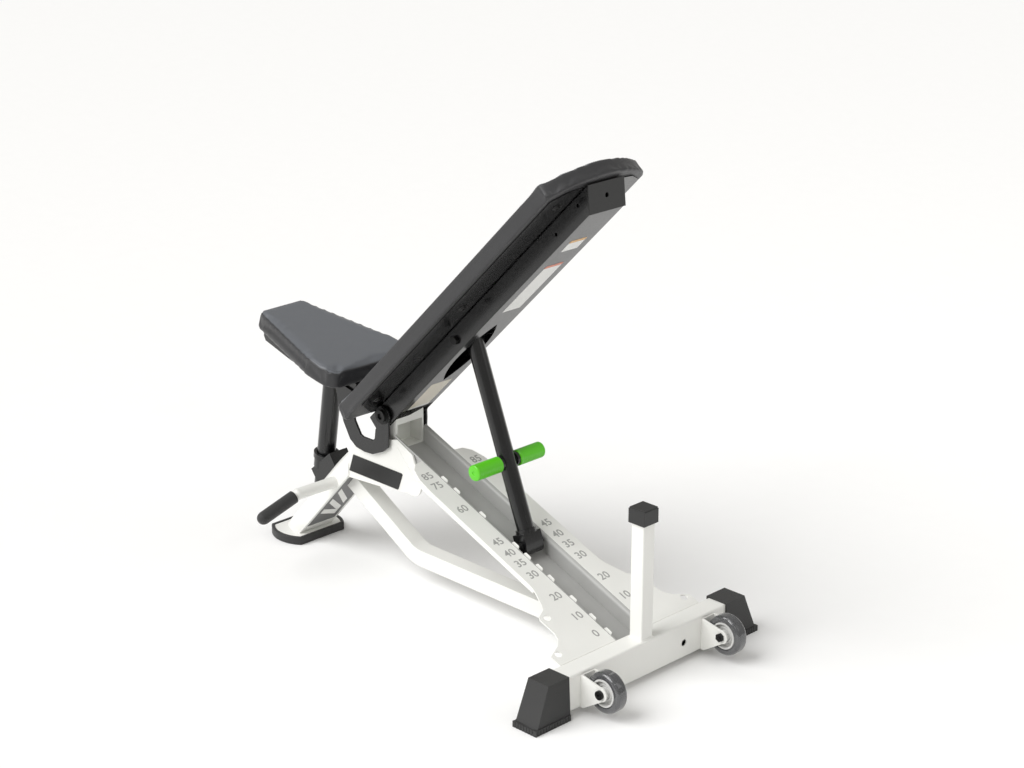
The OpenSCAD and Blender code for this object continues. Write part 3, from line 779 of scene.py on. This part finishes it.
@dataclass
class TransportWheel:
    """Smoke urethane tyre on a nylon hub, between the two cheeks of a bracket."""

    side: Side
    tread: float = 45.0
    rim: float = 32.0
    width: float = 30.0
    shoulder: float = 8.0
    steps: int = 8

    def hub_frame(self) -> Matrix:
        """Returns the frame at the middle of the wheel, with Y along the axle."""
        low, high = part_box(self.side.node("wheel_tyre"))
        return Matrix.Translation((low + high) / 2)

    def tyre_section(self) -> list[tuple[float, float]]:
        """Returns the tyre's section, with large round shoulders."""
        half = self.width / 2
        r = self.shoulder
        section = fillet((self.tread - r, half - r), 0, r, self.steps)
        section += [(self.rim, half), (self.rim, half - 1), (self.rim - 1.5, half - 3.5)]
        section += [(self.rim - 1.5, 3.5 - half), (self.rim, 1 - half), (self.rim, -half)]
        section += fillet((self.tread - r, r - half), 270, r, self.steps)
        return section

    def hub_section(self) -> list[tuple[float, float]]:
        """Returns the hub's section: outer lip, dished web and bearing boss."""
        half = self.width / 2
        out = [(30.4, half - 1.6), (29.6, half - 0.6), (26.5, half - 0.6), (25.5, half - 2.2)]
        out += [(24.0, 7.0), (19.5, 6.0), (18.6, 7.5), (17.5, 8.6), (15.5, 8.6), (14.6, 7.4)]
        out += [(13.2, 6.6), (12.4, 8.0), (12.0, half + 0.6), (11.2, half + 1.2), (5.6, half + 1.2)]
        return out + [(r, -y) for r, y in reversed(out)]

    def make(self) -> None:
        """Builds the wheel, and dresses its bracket and axle."""
        body = f"wheel_{self.side.name.lower()}"
        place = self.hub_frame()
        tyre = lathe(self.side.node("tyre"), self.tyre_section(), SMOKE_URETHANE, place, 128)
        settle(tyre, body, (self.side.node("wheel_tyre"),))
        hub = lathe(self.side.node("hub"), self.hub_section(), HUB_NYLON, place, 96)
        settle(hub, body, (self.side.node("wheel_hub"),))
        soften(self.side.node("wheel_bracket"), 0.7)
        soften(self.side.node("wheel_axle"), 0.6)


@dataclass
class LadderDeck:
    """Deck wings with the channel and racks between them, and the angle scale on both wings."""

    slope: float = 21.8
    front: float = 502.0
    lowest: float = 91.6
    label_y: float = 74.0
    digit: float = 21.0
    em: float = 1.35
    ink: float = 0.12
    bold: float = 0.4

    def marks(self) -> dict[int, float]:
        """Returns the place of each backrest angle's number along X, in mm."""
        return {0: 469, 10: 415, 20: 353, 30: 284, 35: 247, 40: 214, 45: 178, 60: 68, 75: -11, 85: -43}

    def place(self, x: float, y: float) -> Matrix:
        """Returns the frame of a number on the deck, with its top up the slope."""
        slope = math.radians(self.slope)
        across = Vector((0, 1, 0))
        up = Vector((-math.cos(slope), 0, math.sin(slope)))
        out = across.cross(up)
        z = self.lowest + (self.front - x) * math.tan(slope)
        spot = Vector((x, y, z)) * MM + out * self.ink * MM / 2
        axes = Matrix((across, up, out)).transposed().to_4x4()
        return Matrix.Translation(spot) @ axes

    def number(self, text: str, place: Matrix) -> bpy.types.Mesh:
        """Returns a printed number as a thin closed mesh in place."""
        curve = bpy.data.curves.new("number", "FONT")
        curve.body = text
        curve.size = self.digit * self.em * MM
        curve.extrude = self.ink * MM / 2
        curve.align_x = "CENTER"
        curve.align_y = "CENTER"
        curve.resolution_u = 3
        curve.offset = self.bold * MM
        holder = bpy.data.objects.new("number", curve)
        bpy.context.scene.collection.objects.link(holder)
        bpy.context.view_layer.update()
        graph = bpy.context.evaluated_depsgraph_get()
        mesh = bpy.data.meshes.new_from_object(holder.evaluated_get(graph), depsgraph=graph)
        bpy.data.objects.remove(holder)
        mesh.transform(place)
        return mesh

    def scale(self) -> None:
        """Prints the angle scale on both wings."""
        bm = bmesh.new()
        for angle, x in self.marks().items():
            for side in Side:
                bm.from_mesh(self.number(str(angle), self.place(x, side.value * self.label_y)))
        bmesh.ops.remove_doubles(bm, verts=bm.verts, dist=0.001 * MM)
        settle(new_piece("angle_scale", bm, SCALE_INK), "frame")

    def make(self) -> None:
        """Builds the deck."""
        # The channel's floor and walls take the grey powder: painted shade for the shaded inside of the channel.
        soften("channel_floor", 0.4, finish=CHANNEL_SHADE_POWDER)
        for side in Side:
            soften(side.node("deck_wing"), 0.5)
            soften(side.node("channel_wall"), 0.4, finish=CHANNEL_SHADE_POWDER)
            soften(side.node("rack"), 0.5)
        self.scale()


@dataclass
class CentreFrame:
    """Column, side plates and badges, and the bent lower brace."""

    plate_edge: float = 0.8
    column_edge: float = 2.5
    brace_corner: float = 5.0

    def make(self) -> None:
        """Builds the centre frame."""
        soften("core_block", 2.0)
        soften("pivot_column", self.column_edge, shortest=40, segments=3)
        soften("lower_brace", self.brace_corner, shortest=3, segments=3)
        for side in Side:
            soften(side.node("side_plate"), self.plate_edge)
            soften(side.node("badge"), 0.6)


@dataclass
class FrontLeg:
    """D-section leg on its rubber foot, with the lifting handle and the post socket.

    The flat rear web carries a dark sheet of painted shade, with a white lozenge of painted light over each
    window.
    """

    edge: float = 0.9
    foot_edge: float = 2.0
    middle: tuple[float, float] = (-376.0, 179.0)
    lean: float = 42.4
    film: float = 0.25
    film_low: float = -190.0
    film_high: float = 40.0
    film_half: float = 42.0
    windows: tuple[tuple[float, float, float], ...] = ((-14, -8, 84), (-62, -52, 74), (-112, -98, 44))

    def on_web(self, name: str, outline: list[tuple[float, float]], lift: float, finish: Finish) -> None:
        """Sticks a thin film on the web.

        Args:
            name: Name of the piece.
            outline: Points (height, y) on the web in mm.
            lift: Height of the film's underside over the web in mm.
            finish: Its finish.
        """
        bm = bmesh.new()
        face = bm.faces.new([bm.verts.new(Vector((lift, y, z)) * MM) for z, y in outline])
        grown = bmesh.ops.extrude_face_region(bm, geom=[face])["geom"]
        for v in (g for g in grown if isinstance(g, bmesh.types.BMVert)):
            v.co.x += self.film * MM
        bmesh.ops.recalc_face_normals(bm, faces=bm.faces)
        root = Vector((self.middle[0], 0, self.middle[1])) * MM
        turn = Matrix.Rotation(math.radians(self.lean), 4, "Y")
        bmesh.ops.transform(bm, matrix=Matrix.Translation(root) @ turn, verts=bm.verts)
        settle(new_piece(name, bm, finish), "frame")

    def print_web(self) -> None:
        """Lays the dark sheet of painted shade on the web, and the white lozenges of painted light on the sheet.
        """
        low, high, half = self.film_low, self.film_high, self.film_half
        panel = [(low, -half), (high, -half), (high, half), (low, half)]
        # Dark sheet of painted shade over the web.
        self.on_web("web_film", panel, 0.05, WEB_SHADE_SHEET)
        for index, (start, stop, lean) in enumerate(self.windows):
            lozenge = [(start - 20, -33), (start, -33), (stop - lean, 28), (stop - lean - 22, 28)]
            # White lozenges of painted light over the windows, standing for light seen through the leg.
            self.on_web(f"web_lozenge_{index}", lozenge, self.film + 0.1, WHITE_POWDER)

    def make(self) -> None:
        """Builds the front leg."""
        soften("front_leg", self.edge)
        self.print_web()
        soften("foot_plate", 1.0)
        soften("foot_pad", self.foot_edge)
        soften("post_socket", 1.2)


@dataclass
class Seat:
    """Tilting seat on its hook plates and sliding post."""

    tilt: float = 10.2
    board_low: float = 33.3

    def make(self) -> None:
        """Builds the seat."""
        for side in Side:
            soften(side.node("hook_plate"), 1.0)
        soften("seat_beam", 2.0)
        soften("pivot_bolt", 0.8)
        soften("hinge_pin", 0.8)
        turn = Matrix.Rotation(math.radians(self.tilt), 4, "Y")
        Cushion(
            "seat_cushion", "seat_pad", "seat_board", "seat",
            Matrix.Translation(PIVOT) @ turn, self.board_low,
        ).make()


@dataclass
class Sticker:
    """A blank sticker on the underside of the beam, with one coloured band."""

    name: str
    start: float
    end: float
    across: tuple[float, float]
    band: tuple[float, float]
    base: Finish
    stripe: Finish


@dataclass
class Backrest:
    """Box beam with its rails, screws and stickers, and the long cushion."""

    angle: float = 45.0
    beam_low: float = 23.5
    beam_corner: float = 4.0
    rail_top: float = 26.3
    screw_y: float = 91.0
    screw_s: tuple[float, float, float] = (51.0, 442.0, 825.0)
    head: float = 15.0
    film: float = 0.15

    def to_world(self) -> Matrix:
        """Returns the backrest's frame at the main pivot."""
        return Matrix.Translation(PIVOT) @ Matrix.Rotation(math.radians(-self.angle), 4, "Y")

    def stickers(self) -> list[Sticker]:
        """Returns the blank stickers, from the head of the beam down."""
        return [
            Sticker("sticker_small", 706, 748, (-24, 24), (738, 748), STICKER_WHITE, STICKER_AMBER),
            Sticker("sticker_long", 470, 652, (-26, 26), (642, 652), STICKER_WHITE, STICKER_ORANGE),
            Sticker("sticker_low", 50, 165, (-31, 31), (50, 58), STICKER_BEIGE, STICKER_WHITE),
        ]

    def film_mesh(self, s0: float, s1: float, y0: float, y1: float, lift: float) -> bmesh.types.BMesh:
        """Returns a thin film under the beam, with small round corners."""
        bm = bmesh.new()
        corner = 2.5
        outline = []
        for (cs, cy), start in (
            ((s1 - corner, y1 - corner), 0), ((s0 + corner, y1 - corner), 90),
            ((s0 + corner, y0 + corner), 180), ((s1 - corner, y0 + corner), 270),
        ):
            outline += fillet((cs, cy), start, corner, 4)
        low = -self.beam_low - lift - self.film
        face = bm.faces.new([bm.verts.new(Vector((s, y, low)) * MM) for s, y in outline])
        grown = bmesh.ops.extrude_face_region(bm, geom=[face])["geom"]
        for v in (g for g in grown if isinstance(g, bmesh.types.BMVert)):
            v.co.z += (self.film + lift) * MM
        bmesh.ops.recalc_face_normals(bm, faces=bm.faces)
        bmesh.ops.transform(bm, matrix=self.to_world(), verts=bm.verts)
        return bm

    def label_beam(self) -> None:
        """Sticks the blank stickers on."""
        for s in self.stickers():
            base = new_piece(s.name, self.film_mesh(s.start, s.end, *s.across, 0.0), s.base)
            settle(base, "backrest")
            stripe = self.film_mesh(*s.band, *s.across, self.film)
            settle(new_piece(f"{s.name}_band", stripe, s.stripe), "backrest")

    def screw_unit(self) -> bpy.types.Object:
        """Returns one button-head screw with a hex socket and a washer, head down."""
        r = self.head / 2
        profile = [(3.2, -1.6), (3.2, -4.4), (4.2, -4.6), (6.0, -3.6), (r - 0.4, -1.6), (r - 0.1, -0.9)]
        profile += [(r + 2.4, -0.9), (r + 2.6, -0.6), (r + 2.6, 0.0), (0.01, 0.0), (0.01, -1.6)]
        upright = Matrix.Rotation(math.radians(90), 4, "X")
        return lathe("screw_unit", profile, BLACK_OXIDE, upright, 24)

    def screws(self) -> None:
        """Sets the six pad screws into the rails."""
        spots = [
            Vector((s, side.value * self.screw_y, self.beam_low - 0.02)) * MM
            for side in Side for s in self.screw_s
        ]
        piece = repeated("rail_screws", Repeat.POINTS, [spots], self.screw_unit(), 1.0, BLACK_OXIDE)
        piece.data.transform(self.to_world())
        settle(piece, "backrest", ("pad_screws",))

    def make(self) -> None:
        """Builds the backrest."""
        soften("back_beam", self.beam_corner, shortest=300, segments=3)
        soften("beam_cap", 0.8)
        soften("strut_bolt", 0.7)
        for side in Side:
            soften(side.node("pad_rail"), 0.6)
        self.screws()
        self.label_beam()
        Cushion(
            "back_cushion", "back_pad", "back_board", "backrest", self.to_world(), self.rail_top, slack=1.5
        ).make()


@dataclass
class Strut:
    """Support strut with its cross handle and its foot in the ladder."""

    grip: float = 36.0
    ridge: float = 0.5

    def grip_section(self, length: float) -> list[tuple[float, float]]:
        """Returns the section of a grip with a round end and shallow rings, from its middle outwards."""
        r = self.grip / 2
        section = [(10.0, 0.0), (r - 1.5, 0.0), (r, 1.5)]
        for k in range(12):
            y = 8 + k * (length - 16) / 11
            section += [(r, y - 1.2), (r - self.ridge, y), (r, y + 1.2)]
        section += fillet((r - 3.5, length - 3.5), 0, 3.5, 4)
        section += [(5.0, length), (4.0, length - 1.5), (0.01, length - 1.5)]
        return section + [(0.01, length - 3), (10.0, length - 3)]

    def make(self) -> None:
        """Builds the strut."""
        soften("strut_hook", 1.2)
        soften("foot_pin", 0.6)
        soften("grip_bar", 0.5)
        for side in Side:
            low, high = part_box(side.node("grip"))
            middle = (low + high) / 2
            inner = low.y if side is Side.RIGHT else high.y
            turn = Matrix.Identity(4) if side is Side.RIGHT else Matrix.Rotation(math.pi, 4, "Z")
            place = Matrix.Translation((middle.x, inner, middle.z)) @ turn
            section = self.grip_section((high.y - low.y) / MM)
            grip = lathe(side.node("green_grip"), section, GREEN_URETHANE, place, 64)
            settle(grip, "strut", (side.node("grip"),))


@dataclass(frozen=True)
class SoftBox:
    """A square soft light: its place and side in metres, and its power in watts."""

    name: str
    spot: tuple[float, float, float]
    side: float
    power: float


@dataclass
class Studio:
    """Pale floor, soft light and the camera."""

    eye: tuple[float, float, float] = (3441.0, -3271.0, 2233.0)
    azimuth: float = 45.21
    elevation: float = 19.86
    lens: float = 81.38
    sky_light: float = 0.42
    sky_seen: float = 1.0
    aim: float = 0.35
    key_spot: tuple[float, float, float] = (-1.5, -4.0, 4.0)
    key_power: float = 2.6
    key_spread: float = 50.0
    boxes: tuple[SoftBox, ...] = (
        SoftBox("fill", (4.0, 2.0, 3.0), 2.5, 15),
        SoftBox("rim", (2.6, -1.2, 2.4), 0.5, 4),
        SoftBox("top", (0.5, 0.0, 4.5), 3.0, 12),
    )

    def camera(self) -> None:
        """Sets the camera."""
        data = bpy.data.cameras.new("camera")
        data.lens = self.lens
        data.sensor_width = 36.0
        data.clip_end = 100.0
        eye = bpy.data.objects.new("camera", data)
        a, e = math.radians(self.azimuth), math.radians(self.elevation)
        back = Vector((math.sin(a) * math.cos(e), -math.cos(a) * math.cos(e), math.sin(e)))
        turn = (-back).to_track_quat("-Z", "Y").to_matrix().to_4x4()
        eye.matrix_world = Matrix.Translation(Vector(self.eye) * MM) @ turn
        bpy.context.scene.collection.objects.link(eye)
        bpy.context.scene.camera = eye

    def hang(self, box: SoftBox) -> None:
        """Hangs a soft light that faces the middle of the bench."""
        data = bpy.data.lights.new(box.name, "AREA")
        data.shape = "SQUARE"
        data.size = box.side
        data.energy = box.power
        light = bpy.data.objects.new(box.name, data)
        spot = Vector(box.spot)
        turn = (Vector((0, 0, self.aim)) - spot).to_track_quat("-Z", "Y").to_matrix().to_4x4()
        light.matrix_world = Matrix.Translation(spot) @ turn
        bpy.context.scene.collection.objects.link(light)

    def sun(self) -> None:
        """Lights the whole floor evenly from a wide, distant key light."""
        data = bpy.data.lights.new("key", "SUN")
        data.energy = self.key_power
        data.angle = math.radians(self.key_spread)
        light = bpy.data.objects.new("key", data)
        light.matrix_world = (-Vector(self.key_spot)).to_track_quat("-Z", "Y").to_matrix().to_4x4()
        bpy.context.scene.collection.objects.link(light)

    def floor(self) -> None:
        """Lays a wide pale floor."""
        bm = bmesh.new()
        bmesh.ops.create_grid(bm, x_segments=4, y_segments=4, size=30.0)
        bmesh.ops.translate(bm, vec=(0, 0, -0.3 * MM), verts=bm.verts)
        paper = Finish("studio_paper", "ffffff", "fdfdfd", 0.9, Grain.ORANGE_PEEL, 40.0, 0.0)
        new_piece("floor", bm, paper)

    def make(self) -> None:
        """Builds the studio."""
        self.camera()
        self.floor()
        world = bpy.data.worlds.new("studio")
        world.use_nodes = True
        sky = world.node_tree.nodes["Background"]
        sky.inputs["Color"].default_value = linear("fffdf8")
        seen = add_node(world.node_tree, "ShaderNodeLightPath").outputs["Is Camera Ray"]
        strength = add_node(
            world.node_tree, "ShaderNodeMapRange",
            {"Value": seen, "To Min": self.sky_light, "To Max": self.sky_seen},
        )
        world.node_tree.links.new(strength.outputs["Result"], sky.inputs["Strength"])
        bpy.context.scene.world = world
        bpy.context.scene.view_settings.view_transform = "Standard"
        self.sun()
        for box in self.boxes:
            self.hang(box)


# ---- the whole bench ----


def dress_cad() -> None:
    """Gives every CAD node that stays in view the finish of its slot."""
    for row in frame["record"]["subparts"]:
        node = NODES[row["node"]]
        material = SLOT_FINISH[row["material_slot"]].build()
        if not node.data.materials:
            node.data.materials.append(material)
        for slot in node.material_slots:
            slot.material = material


def main() -> None:
    """Builds the scene."""
    logging.basicConfig(level=logging.INFO, format="%(message)s")
    Studio().make()
    dress_cad()
    RearFrame().make()
    for side in Side:
        TransportWheel(side).make()
    LadderDeck().make()
    CentreFrame().make()
    FrontLeg().make()
    Strut().make()
    Seat().make()
    Backrest().make()


if __name__ == "__main__":
    main()
